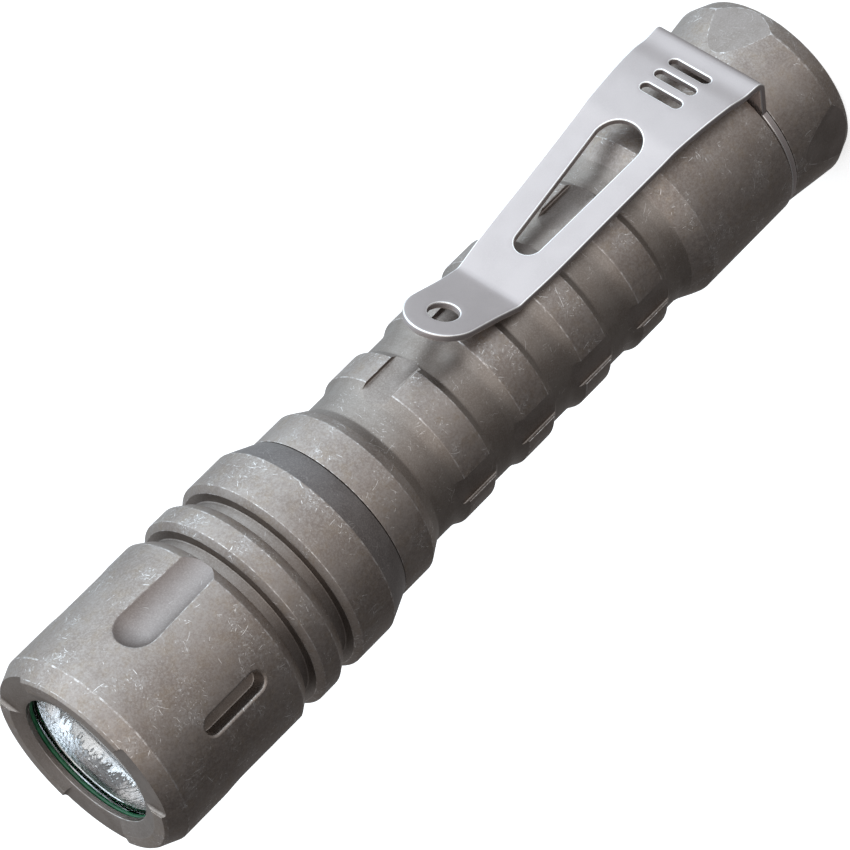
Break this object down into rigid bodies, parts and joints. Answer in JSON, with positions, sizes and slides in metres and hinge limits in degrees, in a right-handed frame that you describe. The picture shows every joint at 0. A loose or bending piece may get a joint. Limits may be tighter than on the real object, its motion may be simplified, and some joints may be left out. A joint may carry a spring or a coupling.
{
  "type": "flashlight",
  "caption": "Keychain flashlight with a fluted, grooved metal head, ridged barrel with milled grip pockets, tail button, and a long sprung pocket clip with a keyring eye.",
  "frame": {"origin": "on the barrel's axis at the tail end, 0.3 mm below the button's face, where the light stands on its tail", "axes": "+Z along the barrel from the tail to the front rim, -Y towards the pocket clip, +X to the right of the clip seen from behind it"},
  "size_m": [0.018, 0.0201, 0.0809],
  "materials": {
    "stonewashed_metal": "satin",
    "clip_steel": "satin",
    "glow_green": "satin",
    "lens_glass": "gloss",
    "reflector_mirror": "polished",
    "brass": "satin",
    "white_plastic": "matte",
    "black_plastic": "matte",
    "black_rubber": "matte",
    "emitter": "gloss",
    "white_board": "satin",
    "green_board": "satin",
    "red_wire": "satin",
    "black_wire": "satin",
    "cell_steel": "satin",
    "cell_jacket": "gloss",
    "gold_spring": "satin"
  },
  "bodies": {
    "tube": {"body_tube": "stonewashed_metal", "cell_can": "cell_steel", "cell_jacket": "cell_jacket", "cell_insulator": "white_plastic", "cell_positive_cap": "cell_steel"},
    "head_seal": {"head_o_ring": "black_rubber"},
    "head": {"head_shell": "stonewashed_metal", "lens_o_ring": "glow_green", "lens": "lens_glass", "reflector": "reflector_mirror", "centering_gasket": "white_plastic", "led_emitter": "emitter", "led_board": "white_board", "pill": "brass", "driver_board": "green_board", "driver_inductor": "black_plastic", "driver_chip": "black_plastic", "driver_capacitor": "white_plastic", "driver_contact": "brass", "led_wire_positive": "red_wire", "led_wire_negative": "black_wire"},
    "tail_seal": {"tail_o_ring": "black_rubber"},
    "tail": {"tail_cap": "stonewashed_metal", "switch_boot": "black_rubber", "switch_spacer": "white_plastic", "switch_housing": "black_plastic", "switch_spring": "gold_spring", "switch_board": "green_board", "switch_retaining_ring": "brass", "battery_spring": "gold_spring"},
    "button": {"switch_plunger": "white_plastic"},
    "clip": {"clip_ring": "clip_steel"},
    "clip_spring": {"clip_arm": "clip_steel"}
  },
  "joints": [
    {"name": "head_turn", "type": "hinge", "parent": "tube", "child": "head_seal", "pos_m": [0, 0, 0.0548], "axis": [0, 0, 1], "range_deg": [0, 1440]},
    {"name": "head_travel", "type": "slide", "parent": "head_seal", "child": "head", "axis": [0, 0, 1], "range_m": [0, 0.0034]},
    {"name": "tail_travel", "type": "slide", "parent": "tube", "child": "tail_seal", "axis": [0, 0, -1], "range_m": [0, 0.0034]},
    {"name": "tail_turn", "type": "hinge", "parent": "tail_seal", "child": "tail", "pos_m": [0, 0, 0.0081], "axis": [0, 0, -1], "range_deg": [0, 1440]},
    {"name": "switch_press", "type": "slide", "parent": "tail", "child": "button", "axis": [0, 0, 1], "range_m": [0, 0.0012], "stiffness_N_per_m": 1500, "springref_m": -0.0005, "deforming": ["switch_boot", "switch_spring"]},
    {"name": "clip_swivel", "type": "hinge", "parent": "tube", "child": "clip", "pos_m": [0, 0, 0.00671], "axis": [0, 0, 1], "continuous": true},
    {"name": "clip_flex", "type": "hinge", "parent": "clip", "child": "clip_spring", "pos_m": [0, -0.00923, 0.00805], "axis": [1, 0, 0], "range_deg": [0, 5], "stiffness_Nm_per_rad": 0.6}
  ],
  "couplings": [
    {"joint": "head_turn", "follows": "head_travel", "rad_per_m": 7392},
    {"joint": "tail_turn", "follows": "tail_travel", "rad_per_m": 7392}
  ]
}
